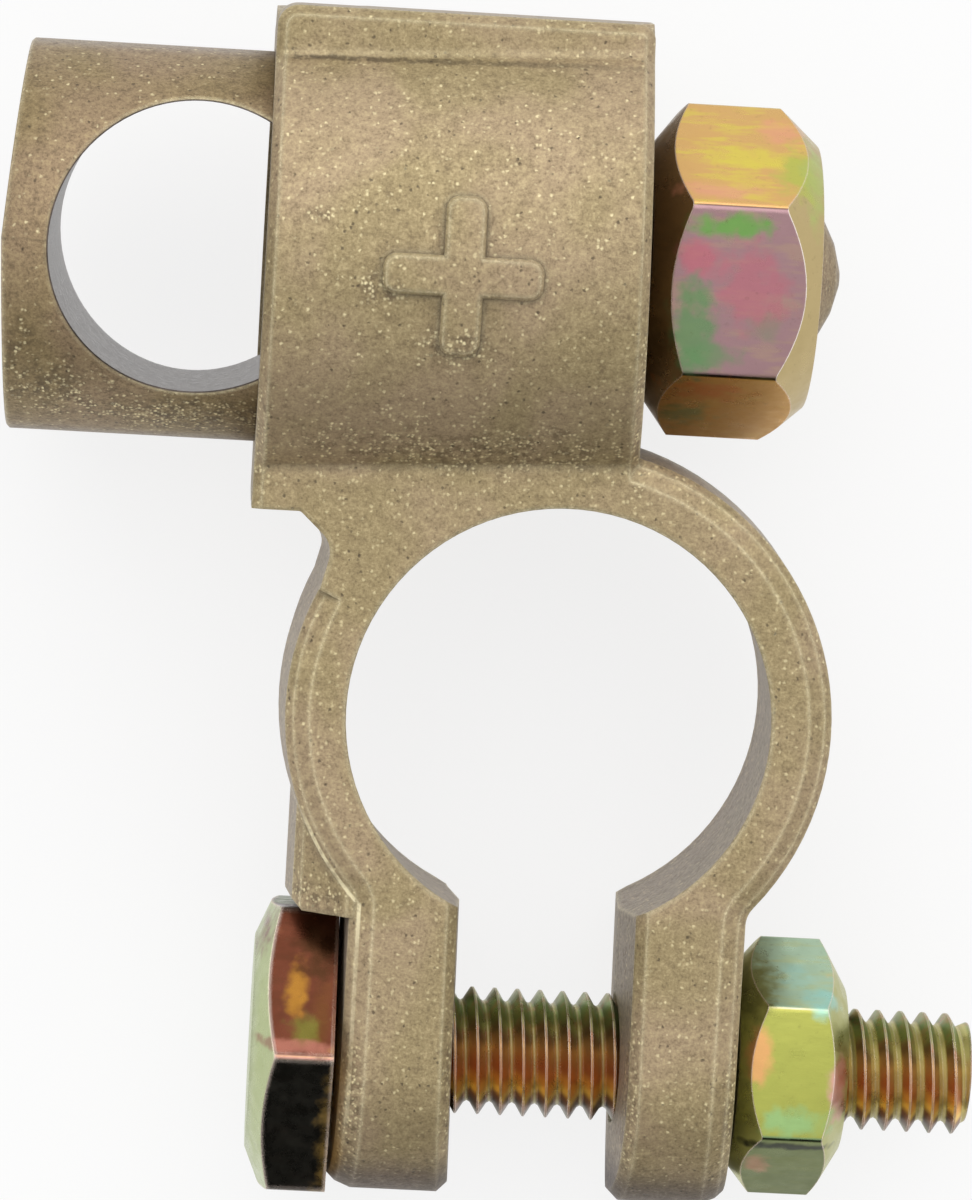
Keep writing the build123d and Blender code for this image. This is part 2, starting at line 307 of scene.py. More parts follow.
# the eye takes a darker copy of the casting's colours: painted shade
eyeFinish = dict(
    castingFinish,
    olive=(146, 127, 90),
    pinkish=(152, 130, 101),
    dark=(90, 75, 55),
    light=(180, 160, 119),
    glintFlecks=0.06,
    glintCrowds=(
        ((-23.6, 15.6, 8.0), (1.2, 2.8, 6.0)),
        ((-22.0, 13.2, 9.0), (2.4, 1.6, 5.0)),
        ((-16.5, 12.2, 9.0), (5.0, 0.8, 5.0)),
    ),
    seamAndCreaseShade={
        "y": 19.28, "lean": 0.0, "at": 0.0, "half": 0.07, "above": 3.0, "from": -24.8, "to": -22.6,
        "strength": (0.35, 0.35),
    },
    hole=(-16.55, 19.48, 6.5),
    holeRadius=6.15,
    holeLean=1.7,
    bored=(106, 94, 88),
    boredDark=(74, 64, 58),
)
del eyeFinish["ridgeWearAndShine"], eyeFinish["ends"]


def within(tree, value, low, high, soft=0.15):
    # 1 between two values in mm
    inside = remap(tree, value, (low - soft) * mm, (low + soft) * mm)
    return maths(tree, "MULTIPLY", inside, remap(tree, value, (high + soft) * mm, (high - soft) * mm))


def seamAndCreaseShadeMask(tree, place, shift, seamAndCreaseShade):
    # a thin broken line across the part: painted shade along a crease on the housing, a dark parting line on
    # the eye
    level = maths(tree, "SUBTRACT", place.outputs["X"], seamAndCreaseShade["at"] * mm)
    level = maths(tree, "MULTIPLY", level, seamAndCreaseShade["lean"])
    off = maths(tree, "SUBTRACT", place.outputs["Y"], level)
    off = maths(tree, "ADD", off, maths(tree, "MULTIPLY", shift, 0.25 * mm))
    off = maths(tree, "SUBTRACT", off, seamAndCreaseShade["y"] * mm)
    line = remap(tree, maths(tree, "ABSOLUTE", off), seamAndCreaseShade["half"] * mm, seamAndCreaseShade["half"] * 0.2 * mm, smooth=True)
    line = maths(tree, "MULTIPLY", line, within(tree, place.outputs["X"], seamAndCreaseShade["from"], seamAndCreaseShade["to"]))
    fading = remap(tree, place.outputs["X"], seamAndCreaseShade["from"] * mm, seamAndCreaseShade["to"] * mm, *seamAndCreaseShade["strength"])
    line = maths(tree, "MULTIPLY", line, fading)
    high = remap(tree, place.outputs["Z"], seamAndCreaseShade["above"] * mm, (seamAndCreaseShade["above"] + 0.3) * mm)
    return maths(tree, "MULTIPLY", line, high)


def ridgeMask(tree, place, ridgeWearAndShine):
    # a bright line of rubbing and painted highlight along the ring's edge where the lug starts, and on down
    # the ear
    square = maths(tree, "MULTIPLY", place.outputs["X"], place.outputs["X"])
    square = maths(tree, "ADD", square, maths(tree, "MULTIPLY", place.outputs["Y"], place.outputs["Y"]))
    circle = maths(tree, "SUBTRACT", maths(tree, "SQRT", square), ridgeWearAndShine["radius"] * mm)
    circle = maths(tree, "ABSOLUTE", circle)
    straight = maths(tree, "ABSOLUTE", maths(tree, "SUBTRACT", place.outputs["X"], ridgeWearAndShine["x"] * mm))
    low = maths(tree, "LESS_THAN", place.outputs["Y"], ridgeWearAndShine["turnsAt"] * mm)
    off = maths(tree, "ADD", maths(tree, "MULTIPLY", straight, low),
                maths(tree, "MULTIPLY", circle, maths(tree, "SUBTRACT", 1.0, low)))
    line = remap(tree, off, ridgeWearAndShine["half"] * mm, ridgeWearAndShine["half"] * 0.4 * mm, smooth=True)
    line = maths(tree, "MULTIPLY", line, maths(tree, "LESS_THAN", place.outputs["X"], 0.0))
    high = remap(tree, place.outputs["Z"], ridgeWearAndShine["above"] * mm, (ridgeWearAndShine["above"] + 0.3) * mm)
    line = maths(tree, "MULTIPLY", line, high)
    line = maths(tree, "MULTIPLY", line, remap(tree, place.outputs["Y"], -10.5 * mm, -8.6 * mm, 0.3, 1.0))
    start = remap(tree, place.outputs["Y"], ridgeWearAndShine["from"] * mm, (ridgeWearAndShine["from"] - 1.2) * mm)
    return maths(tree, "MULTIPLY", line, start)


def newMaterial(name):
    material = bpy.data.materials.new(name)
    material.use_nodes = True
    tree = material.node_tree
    where = tree.nodes.new("ShaderNodeTexCoord")
    vector = where.outputs["Object"]
    facing = addNode(tree, "ShaderNodeSeparateXYZ", None, Vector=where.outputs["Normal"])
    place = addNode(tree, "ShaderNodeSeparateXYZ", None, Vector=vector)
    return material, vector, facing, place


def finishShader(tree, base, rough, metallic, bump):
    shader = tree.nodes["Principled BSDF"]
    for name, value in (("Base Color", base), ("Roughness", rough), ("Metallic", metallic),
                        ("Normal", bump.outputs[0])):
        feed(tree, shader, name, value)


def castMaterial(name, look):
    material, vector, facing, place = newMaterial(name)
    tree = material.node_tree
    shift = stirred(tree, vector, 0.9, 2.0)
    crowd = 0.0
    for spot, size in look["glintCrowds"]:
        crowd = maths(tree, "MAXIMUM", nearPlace(tree, vector, shift, spot, size), crowd)
    glintFlecks = maths(tree, "MULTIPLY_ADD", crowd, 0.55)
    glintFlecks.node.inputs[2].default_value = look["glintFlecks"]
    grain = useGroup(tree, castGrain, Vector=vector, Flecks=glintFlecks, Pits=look["pits"])
    edges = useGroup(tree, edgeWearShineAndShade, Vector=vector, Radius=look["edgeRadius"] * mm, Breaks=0.6)
    base = mixColour(tree, grain["Drift"], srgb(*look["olive"]), srgb(*look["pinkish"]))
    # painted reflection: faces turned side-on to the camera get a paler, greyer colour, standing in for the
    # bright table they mirror
    sideSheen = maths(tree, "ABSOLUTE", facing.outputs["Z"])
    sideSheen = remap(tree, sideSheen, 0.34, 0.12, toHigh=0.7, smooth=True)
    base = mixColour(tree, sideSheen, base, srgb(*look["sideSheen"]))
    base = mixColour(tree, remap(tree, grain["Mottle"], 0.50, 0.36, toHigh=0.6), base, srgb(*look["dark"]))
    base = mixColour(tree, remap(tree, grain["Mottle"], 0.51, 0.64, toHigh=0.6), base, srgb(*look["light"]))
    hollows = remap(tree, noise(tree, vector, 0.38, 3.0, 0.65), 0.56, 0.42, toHigh=0.75)
    base = mixColour(tree, maths(tree, "MULTIPLY", crowd, hollows), base, srgb(*look["dark"]))
    # painted glints: pale specks stand in for the sparkle of the blasted grain
    gleam = maths(tree, "MULTIPLY", grain["GlintFleck"], remap(tree, crowd, 0.0, 1.0, 0.7, 0.95))
    base = mixColour(tree, gleam, base, srgb(*look["glintFleck"]))
    base = mixColour(tree, maths(tree, "MULTIPLY", grain["Pit"], 0.7), base, srgb(*look["pit"]))
    # painted shade: hollows found by the occlusion test are darkened
    base = mixColour(tree, maths(tree, "MULTIPLY", edges["Crease"], 0.45), base, srgb(*look["pit"]))
    # edges brightened where rubbed, and as painted edge highlights
    base = mixColour(tree, maths(tree, "MULTIPLY", edges["WearAndShine"], 0.85), base, srgb(*look["edge"]))
    broken = remap(tree, noise(tree, vector, 0.5, 3.0, 0.6), 0.38, 0.50, 0.3, 1.0)
    wobble = maths(tree, "SUBTRACT", noise(tree, vector, 0.7, 2.0), 0.5)
    # painted shade along the arch's crease on the housing; on the eye, its dark parting line
    line = maths(tree, "MULTIPLY", seamAndCreaseShadeMask(tree, place, wobble, look["seamAndCreaseShade"]), broken)
    base = mixColour(tree, line, base, srgb(*look["pit"]))
    if "ridgeWearAndShine" in look:
        # painted highlight, with rubbing, along the lug's raised edge
        line = maths(tree, "MULTIPLY", ridgeMask(tree, place, look["ridgeWearAndShine"]), broken)
        base = mixColour(tree, line, base, srgb(*look["edge"]))
    if "ends" in look:
        # painted shade: the ear tips, which face downwards, are multiplied darker
        (low, high), shadeTint = look["ends"]
        end = remap(tree, place.outputs["Y"], low * mm, high * mm, smooth=True)
        base = mixColour(tree, end, base, srgb(*shadeTint), "MULTIPLY")
    rough = remap(tree, grain["Mottle"], 0.35, 0.65, look["roughness"] + 0.08, look["roughness"] - 0.06)
    rough = maths(tree, "SUBTRACT", rough, maths(tree, "MULTIPLY", edges["WearAndShine"], 0.14))
    if "hole" in look:
        away = vectorMaths(tree, "SUBTRACT", vector, Vector(look["hole"]) * mm)
        lean = math.radians(look["holeLean"])
        across = vectorMaths(tree, "CROSS_PRODUCT", away, (0.0, -math.sin(lean), math.cos(lean)))
        reach = vectorMaths(tree, "LENGTH", across, result="Value")
        inside = remap(tree, reach, (look["holeRadius"] + 0.09) * mm, (look["holeRadius"] + 0.03) * mm)
        stretch = addNode(tree, "ShaderNodeMapping", None, Vector=vector, Scale=(0.25, 0.25, 6.0))
        rings = remap(tree, noise(tree, stretch.outputs[0], 0.5, 3.0), 0.35, 0.65)
        bored = mixColour(tree, rings, srgb(*look["boredDark"]), srgb(*look["bored"]))
        bored = mixColour(tree, maths(tree, "MULTIPLY", grain["Pit"], 0.9), bored, srgb(*look["pit"]))
        base = mixColour(tree, inside, base, bored)
        rough = maths(tree, "SUBTRACT", rough, maths(tree, "MULTIPLY", inside, 0.2))
    bump = addNode(tree, "ShaderNodeBump", None, Strength=0.55, Distance=0.06 * mm, Height=grain["Height"],
                   Normal=edges["Normal"])
    finishShader(tree, base, rough, look["metallic"], bump)
    return material


# colours by which way a facet faces, in degrees from +Z towards +Y, with painted reflections, light and
# dark, in them; then colour spots at places in mm, some of them painted highlights
nutFinish = {
    "facetColoursAndReflections": (
        (-180, (150, 138, 84)), (-126, (150, 128, 72)), (-70, (200, 152, 76)), (-54, (204, 158, 84)),
        (-44, (60, 40, 28)), (-35, (48, 34, 26)), (-27, (156, 124, 126)), (16, (160, 128, 132)),
        (25, (104, 84, 74)), (33, (226, 176, 118)), (60, (216, 174, 108)), (114, (182, 178, 98)),
        (180, (150, 138, 84)),
    ),
    "streak": (222, 206, 88),
    "streakAmount": 0.6,
    "patchesAndReflections": (
        ((6.2, 21.5, 12.9), (1.7, 0.55, 2.0), (108, 160, 80), 0.9),
        ((4.8, 20.0, 12.9), (0.9, 0.9, 2.0), (190, 106, 120), 0.7),
        ((7.2, 18.9, 12.9), (1.6, 1.9, 2.0), (182, 110, 122), 0.7),
        ((4.7, 16.8, 12.9), (0.9, 2.1, 2.0), (104, 142, 96), 0.85),
        ((5.5, 15.9, 12.9), (1.3, 0.6, 2.0), (104, 142, 96), 0.7),
        ((7.8, 17.2, 12.9), (0.7, 0.6, 2.0), (128, 138, 112), 0.5),
        ((6.8, 24.4, 11.0), (2.4, 0.5, 2.0), (222, 206, 88), 0.8),
        ((9.0, 23.8, 11.0), (0.9, 1.3, 2.5), (184, 192, 88), 0.85),
        ((8.4, 25.6, 10.0), (1.2, 0.6, 2.5), (232, 164, 130), 0.7),
        ((5.6, 22.9, 11.6), (2.0, 0.35, 2.0), (230, 164, 134), 0.7),
        ((5.6, 14.5, 10.5), (1.7, 0.6, 1.6), (206, 124, 60), 0.7),
        ((5.0, 12.9, 9.5), (1.5, 0.7, 2.4), (130, 140, 76), 0.8),
        ((9.7, 23.2, 10.0), (0.6, 2.0, 3.0), (176, 190, 110), 0.7),
    ),
    "leftEnd": (140, 112, 72),
    "rightEnd": (190, 170, 122),
    "otherPatch": (124, 158, 84),
    "grime": (72, 58, 42),
    "hollow": (46, 36, 26),
    "wornEdgeShine": (252, 232, 218),
    "shine": (255, 246, 240),
    "roughness": 0.30,
    "sheenSize": 2.4,
    "edgeRadius": 0.10,
    "rim": ((0.12, 0.60), (-5.7, 26)),   # a painted highlight line where the middle facet turns: N.x, then degrees
    "crease": 0.5,
    "metallic": 0.95,
}
earNutFinish = dict(
    nutFinish,
    facetColoursAndReflections=(
        (-180, (160, 156, 92)), (-114, (118, 120, 68)), (-60, (102, 110, 68)), (-46, (116, 128, 80)),
        (-34, (70, 80, 50)), (-25, (34, 40, 28)), (-17, (140, 170, 120)), (0, (164, 168, 84)),
        (24, (168, 166, 84)), (36, (224, 212, 180)), (48, (164, 192, 164)), (72, (172, 198, 170)),
        (125, (196, 176, 108)), (180, (160, 156, 92)),
    ),
    streak=(196, 190, 96),
    streakAmount=0.3,
    patchesAndReflections=(
        ((9.3, -11.2, 9.9), (1.1, 1.6, 2.6), (130, 132, 72), 0.9),
        ((11.3, -10.9, 9.7), (0.9, 0.7, 2.0), (160, 204, 190), 0.6),
        ((11.5, -10.0, 9.4), (0.55, 0.35, 1.2), (166, 142, 200), 0.85),
        ((12.9, -10.4, 9.5), (0.6, 0.6, 1.6), (236, 196, 124), 0.85),
        ((12.4, -12.0, 10.2), (0.8, 0.6, 1.6), (150, 206, 196), 0.7),
        ((9.7, -14.2, 11.4), (0.6, 1.2, 2.0), (222, 160, 108), 0.8),
        ((13.2, -15.6, 11.4), (0.5, 1.4, 2.0), (216, 158, 156), 0.8),
        ((11.3, -17.1, 11.3), (1.6, 0.6, 2.0), (146, 186, 126), 0.8),
        ((10.0, -19.2, 9.2), (0.6, 0.6, 1.4), (176, 124, 100), 0.6),
        ((11.0, -18.2, 10.9), (2.4, 0.2, 1.6), (30, 34, 22), 0.9),
    ),
    leftEnd=(180, 182, 104),
    rightEnd=(180, 180, 118),
    rim=((0.18, 0.62), (5.6, 30)),
)
headFinish = dict(
    nutFinish,
    facetColoursAndReflections=(
        # the near-black colours from -84 to -14 degrees are a painted dark reflection on the head's lower
        # facet
        (-180, (120, 100, 60)), (-110, (60, 58, 36)), (-84, (62, 60, 50)), (-36, (66, 64, 58)),
        (-14, (62, 60, 52)), (-4, (120, 86, 70)), (4, (196, 134, 116)), (13, (204, 150, 112)),
        (20, (104, 60, 42)), (28, (94, 52, 36)), (44, (88, 48, 34)), (70, (70, 40, 30)),
        (96, (66, 38, 28)), (180, (120, 100, 60)),
    ),
    streak=(78, 46, 30),
    streakAmount=0.4,
    patchesAndReflections=(
        ((-9.6, -10.4, 10.5), (0.9, 1.8, 3.0), (66, 42, 24), 0.85),
        ((-9.4, -13.5, 12.3), (0.4, 1.5, 2.5), (92, 58, 30), 0.7),
        ((-10.5, -12.4, 11.5), (0.5, 1.1, 2.5), (150, 106, 40), 0.8),
        ((-10.1, -13.9, 12.3), (0.8, 0.6, 2.5), (98, 96, 40), 0.8),
        ((-8.7, -18.2, 10.0), (0.62, 4.2, 4.0), (224, 182, 100), 0.9),
        # a painted highlight band along the edge between the head's two flats
        ((-11.0, -14.5, 13.2), (3.0, 0.30, 2.0), (150, 96, 82), 0.7),
        ((-12.4, -9.9, 9.5), (0.8, 1.3, 2.5), (120, 72, 50), 0.95),
    ),
    leftEnd=(180, 190, 140),
    rightEnd=(120, 92, 50),
    roughness=0.26,
    edgeRadius=0.28,
    rim=None,
)


threadFinish = dict(
    nutFinish,
    facetColoursAndReflections=(
        (-180, (150, 124, 74)), (-84, (112, 116, 78)), (-62, (90, 70, 46)), (-46, (140, 96, 58)),
        # the gold at -34 and -25 degrees is a painted highlight band along the thread
        (-34, (250, 206, 100)), (-25, (240, 176, 80)), (-10, (182, 112, 60)), (14, (178, 134, 76)),
        (28, (114, 86, 52)), (44, (136, 138, 78)), (62, (130, 150, 86)), (84, (150, 158, 108)),
        (180, (150, 124, 74)),
    ),
    streak=(196, 108, 80),
    streakAmount=0.35,
    patchesAndReflections=(),
    leftEnd=None,
    roughness=0.30,
    sheenSize=0.9,
    edgeRadius=0.10,
    rim=None,
    crease=0.35,
    metallic=0.75,
    # a painted highlight down the thread's roots
    rootHighlight={"axis": (-15.45, 6.5), "radius": (2.26, 2.20), "colour": (216, 206, 132)},
)


def platedMaterial(name, look):
    # yellow zinc plating: a thin film whose colour changes from facet to facet and drifts over each, with
    # painted reflections, light and dark, set by facing
    material, vector, facing, place = newMaterial(name)
    tree = material.node_tree
    # colour by facing direction: the film's own colours, with painted reflections in them
    angle = maths(tree, "ARCTAN2", facing.outputs["Y"], facing.outputs["Z"])
    angle = remap(tree, angle, -math.pi, math.pi)
    film = ramp(tree, angle, [((degrees + 180) / 360, colour) for degrees, colour in look["facetColoursAndReflections"]])
    along = addNode(tree, "ShaderNodeMapping", None, Vector=vector, Scale=(0.22, 1.0, 1.0))
    streaks = remap(tree, noise(tree, along.outputs[0], 0.55, 3.0, 0.6), 0.46, 0.66, smooth=True)
    streaks = maths(tree, "MULTIPLY", streaks, remap(tree, facing.outputs["Y"], 0.2, 0.5, 0.15, 1.0))
    streaks = maths(tree, "MULTIPLY", streaks, look["streakAmount"])
    film = mixColour(tree, streaks, film, srgb(*look["streak"]))
    behind = remap(tree, facing.outputs["Z"], 0.05, -0.25)
    other = remap(tree, noise(tree, vector, look["sheenSize"], 2.0, 0.5, 0.7), 0.50, 0.64, smooth=True)
    film = mixColour(tree, maths(tree, "MULTIPLY", other, behind), film, srgb(*look["otherPatch"]))
    # the end chamfers are coloured by facing too, with the reflections they show painted in
    if look["leftEnd"]:
        film = mixColour(tree, remap(tree, facing.outputs["X"], -0.25, -0.5), film, srgb(*look["leftEnd"]))
        film = mixColour(tree, remap(tree, facing.outputs["X"], 0.25, 0.5), film, srgb(*look["rightEnd"]))
    shift = stirred(tree, vector, 0.8, 1.8)
    # colour spots of the film; some are painted highlights, such as the band along the head's middle edge
    for spot, size, colour, amount in look["patchesAndReflections"]:
        share = maths(tree, "MULTIPLY", nearPlace(tree, vector, shift, spot, size), amount)
        film = mixColour(tree, share, film, srgb(*colour))
    # a painted highlight down the thread's roots
    if "rootHighlight" in look:
        rootHighlight = look["rootHighlight"]
        offY = maths(tree, "SUBTRACT", place.outputs["Y"], rootHighlight["axis"][0] * mm)
        offZ = maths(tree, "SUBTRACT", place.outputs["Z"], rootHighlight["axis"][1] * mm)
        reach = maths(tree, "ADD", maths(tree, "MULTIPLY", offY, offY), maths(tree, "MULTIPLY", offZ, offZ))
        low, high = rootHighlight["radius"]
        low = remap(tree, maths(tree, "SQRT", reach), low * mm, high * mm, toHigh=0.7)
        film = mixColour(tree, low, film, srgb(*rootHighlight["colour"]))
    grime = remap(tree, noise(tree, vector, 0.3, 4.0, 0.65), 0.60, 0.78)
    film = mixColour(tree, maths(tree, "MULTIPLY", grime, 0.25), film, srgb(*look["grime"]))
    edges = useGroup(tree, edgeWearShineAndShade, Vector=vector, Radius=look["edgeRadius"] * mm, Breaks=0.35)
    # painted shade in the hollows found by the occlusion test
    hollows = maths(tree, "MULTIPLY", edges["Crease"], look["crease"])
    film = mixColour(tree, hollows, film, srgb(*look["hollow"]))
    # edges brightened where rubbed, and as painted edge highlights, such as the pale crest lines on threads
    film = mixColour(tree, maths(tree, "MULTIPLY", edges["WearAndShine"], 0.9), film, srgb(*look["wornEdgeShine"]))
    # a painted highlight where the middle facet turns into the chamfer
    if look["rim"]:
        (low, high), (middle, reach) = look["rim"]
        side = maths(tree, "MULTIPLY", remap(tree, facing.outputs["X"], low, low + 0.06),
                     remap(tree, facing.outputs["X"], high, high - 0.06))
        off = maths(tree, "ABSOLUTE", maths(tree, "SUBTRACT", angle, (middle + 180) / 360))
        side = maths(tree, "MULTIPLY", side, remap(tree, off, (reach + 6) / 360, reach / 360))
        uneven = remap(tree, noise(tree, vector, 0.5, 2.0), 0.35, 0.45, 0.5, 0.95)
        side = maths(tree, "MULTIPLY", side, uneven)
        film = mixColour(tree, side, film, srgb(*look["shine"]))
    rough = remap(tree, noise(tree, vector, 0.8, 3.0, 0.6), 0.35, 0.65,
                  look["roughness"] - 0.04, look["roughness"] + 0.1)
    waves = noise(tree, vector, 1.1, 2.0, 0.5)
    grit = noise(tree, along.outputs[0], 0.10, 2.0, 0.6)
    skin = maths(tree, "ADD", waves, maths(tree, "MULTIPLY", grit, 0.12))
    bump = addNode(tree, "ShaderNodeBump", None, Strength=0.5, Distance=0.04 * mm, Height=skin,
                   Normal=edges["Normal"])
    finishShader(tree, film, rough, look["metallic"], bump)
    return material


castBrass = castMaterial("castBrass", castingFinish)
eyeBrass = castMaterial("eyeBrass", eyeFinish)
nutZinc = platedMaterial("nutZinc", nutFinish)
earNutZinc = platedMaterial("earNutZinc", earNutFinish)
headZinc = platedMaterial("headZinc", headFinish)
threadZinc = platedMaterial("threadZinc", threadFinish)
print("finishes made")


# pieces

def copyOfNode(name):
    shape = bmesh.new()
    shape.from_mesh(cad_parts[name].data)
    bmesh.ops.remove_doubles(shape, verts=shape.verts, dist=0.001 * mm)
    return shape


def turnAbout(shape, axis, degrees):
    middle = Vector((0, *axis)) * mm
    turned = Matrix.Rotation(math.radians(degrees), 3, "X")
    bmesh.ops.rotate(shape, cent=middle, matrix=turned, verts=shape.verts)


def roundOver(shape, settings):
    # the outer edges of a hexagon along X, rounded over
    bmesh.ops.dissolve_limit(shape, angle_limit=math.radians(1), verts=shape.verts, edges=shape.edges)
    middle = Vector((0, *settings["axis"])) * mm
    edges = []
    for edge in shape.edges:
        inner = min((corner.co.yz - middle.yz).length for corner in edge.verts)
        sharp = edge.calc_face_angle(0.0) > math.radians(settings["sharpest"])
        if inner > settings["roundBeyond"] * mm and sharp:
            edges.append(edge)
    bmesh.ops.bevel(shape, geom=edges, offset=settings["rounding"] * mm, segments=3, profile=0.5,
                    affect="EDGES", clamp_overlap=True)
    bmesh.ops.remove_doubles(shape, verts=shape.verts, dist=0.001 * mm)


def cutAcross(shape, x, keepRight):
    # everything on one side of a plane square to X goes, and the cut is closed
    whole = shape.verts[:] + shape.edges[:] + shape.faces[:]
    cut = bmesh.ops.bisect_plane(shape, geom=whole, dist=1e-7, plane_co=(x * mm, 0, 0), plane_no=(1, 0, 0),
                                 clear_outer=not keepRight, clear_inner=keepRight)
    rim = [part for part in cut["geom_cut"] if isinstance(part, bmesh.types.BMEdge)]
    bmesh.ops.holes_fill(shape, edges=rim, sides=0)


def threadedBar(settings):
    # one pitch of the profile, wound up along the axis; right-handed
    shape = bmesh.new()
    pitch, steps = settings["pitch"], settings["steps"]
    y, z = settings["axis"]
    first = settings["start"] - 2 * pitch
    first += (settings["crestAt"] - first) % pitch
    previous = None
    for share, drop in settings["profile"]:
        radius = settings["radius"] - drop
        corner = shape.verts.new(Vector((first + share * pitch, y + radius, z)) * mm)
        if previous:
            shape.edges.new((previous, corner))
        previous = corner
    turns = math.ceil((settings["end"] - first) / pitch) + 1
    bmesh.ops.spin(shape, geom=shape.verts[:] + shape.edges[:], cent=Vector((0, y, z)) * mm, axis=(1, 0, 0),
                   dvec=(pitch / steps * mm, 0, 0), angle=2 * math.pi * turns, steps=steps * turns)
    bmesh.ops.remove_doubles(shape, verts=shape.verts, dist=0.0005 * mm)
    cutAcross(shape, settings["start"], True)
    cutAcross(shape, settings["end"], False)
    for corner in shape.verts:                        # lead-in at the free end
        left = (settings["end"] - corner.co.x / mm) / settings["leadIn"]
        arm = Vector((corner.co.y - y * mm, corner.co.z - z * mm))
        most = (settings["radius"] - settings["leadInDepth"] * (1 - left)) * mm
        if left < 1 and arm.length > most:
            corner.co.y, corner.co.z = y * mm + arm.x * most / arm.length, z * mm + arm.y * most / arm.length
    return shape


def objectFrom(name, shape):
    mesh = bpy.data.meshes.new(name)
    shape.to_mesh(mesh)
    shape.free()
    made = bpy.data.objects.new(name, mesh)
    bpy.context.scene.collection.objects.link(made)
    return made


def addTo(shape, other, slot):
    # other's faces join shape, in one of its material slots
    mesh = bpy.data.meshes.new("joining")
    bmesh.ops.recalc_face_normals(other, faces=other.faces)
    for face in other.faces:
        face.material_index = slot
    other.to_mesh(mesh)
    other.free()
    shape.from_mesh(mesh)
    bpy.data.meshes.remove(mesh)


def makePiece(name, shape, node, body, finishes, smoothBelow=32):
    bmesh.ops.recalc_face_normals(shape, faces=shape.faces)
    piece = objectFrom(name, shape)
    piece.data.shade_smooth()
    piece.data.set_sharp_from_angle(angle=math.radians(smoothBelow))
    for finish in finishes:
        piece.data.materials.append(finish)
    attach(piece, body)
    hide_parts(node)
    return piece


clampBolt = {
    "radius": 2.8,
    "pitch": 1.0,
    "profile": ((0.0, 0.0), (0.08, 0.0), (0.40, 0.52), (0.54, 0.60), (0.68, 0.52), (1.0, 0.0)),
    "crestAt": 0.30,            # a crest's place along X on the side towards +Y
    "axis": (-15.45, 6.5),
    "start": -8.9,
    "end": 19.3,
    "leadIn": 0.5,
    "leadInDepth": 0.4,
    "steps": 64,
    "headEnd": -8.75,
    "slims": (9.0, 13.7, 0.95),       # from one place along X to another, down to this share
    "headTurn": -4,                   # degrees about X
}


def makeClampBolt(settings):
    shape = copyOfNode("clamp_bolt")
    cutAcross(shape, settings["headEnd"], False)
    turnAbout(shape, settings["axis"], settings["headTurn"])
    bar = threadedBar(settings)
    middle = Vector((0, *settings["axis"])) * mm
    first, last, share = settings["slims"]
    for corner in bar.verts:
        along = min(max((corner.co.x / mm - first) / (last - first), 0), 1)
        corner.co.yz = middle.yz + (corner.co.yz - middle.yz) * (1 + (share - 1) * along)
    addTo(shape, bar, 1)
    return makePiece("clampBolt", shape, "clamp_bolt", "bolt", (headZinc, threadZinc), 14)


studNut = {"axis": (19.33, 6.5), "turn": 0, "rounding": 0.24, "roundBeyond": 5.0, "sharpest": 16}
earNut = {"axis": (-15.45, 6.5), "turn": -10, "rounding": 0.46, "roundBeyond": 3.3, "sharpest": 16}


def makeNut(name, node, settings, finish):
    shape = copyOfNode(node)
    turnAbout(shape, settings["axis"], settings["turn"])
    roundOver(shape, settings)
    return makePiece(name, shape, node, node, (finish,), 24)


eyeStud = {
    "radius": 3.95,
    "pitch": 1.25,
    "profile": ((0.0, 0.0), (0.14, 0.0), (0.46, 0.70), (0.68, 0.70), (1.0, 0.0)),
    "crestAt": 0.3,
    "axis": (19.33, 6.5),
    "start": -7.2,
    "end": 10.3,
    "leadIn": 0.9,
    "leadInDepth": 0.95,
    "steps": 64,
    "shoulder": -7.0,
    "overcut": 0.001,
    "tipFrom": 9.95,
    "tipStretch": 1.33,
    "tipNarrowing": 0.995,            # along Y
}


def makeCableEye(settings):
    shape = copyOfNode("cable_eye")
    cutAcross(shape, settings["shoulder"] + settings["overcut"], False)
    addTo(shape, threadedBar(settings), 0)
    tip = copyOfNode("cable_eye")
    cutAcross(tip, settings["tipFrom"], True)
    start, middle = settings["tipFrom"] * mm, settings["axis"][0] * mm
    for corner in tip.verts:
        corner.co.x = start + (corner.co.x - start) * settings["tipStretch"]
        corner.co.y = middle + (corner.co.y - middle) * settings["tipNarrowing"]
    addTo(shape, tip, 0)
    return makePiece("cableEye", shape, "cable_eye", "eye", (eyeBrass,), 38)


makeClampBolt(clampBolt)
print("bolt made")
makeCableEye(eyeStud)
print("eye made")
makeNut("studNut", "stud_nut", studNut, nutZinc)
makeNut("earNut", "ear_nut", earNut, earNutZinc)
print("nuts made")
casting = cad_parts["clamp_casting"].data
casting.materials.clear()
casting.materials.append(castBrass)
print("casting finished")


floorSettings = {"size": 3.0, "gap": 0.00003, "white": 0.93, "glow": 0.8}


def seenShare(tree, share):
    # what the camera sees directly, in a mirror or through glass
    path = tree.nodes.new("ShaderNodeLightPath")
    seen = maths(tree, "MAXIMUM", path.outputs["Is Camera Ray"], path.outputs["Is Glossy Ray"])
    seen = maths(tree, "MAXIMUM", seen, path.outputs["Is Transmission Ray"])
    return maths(tree, "MULTIPLY", seen, share)


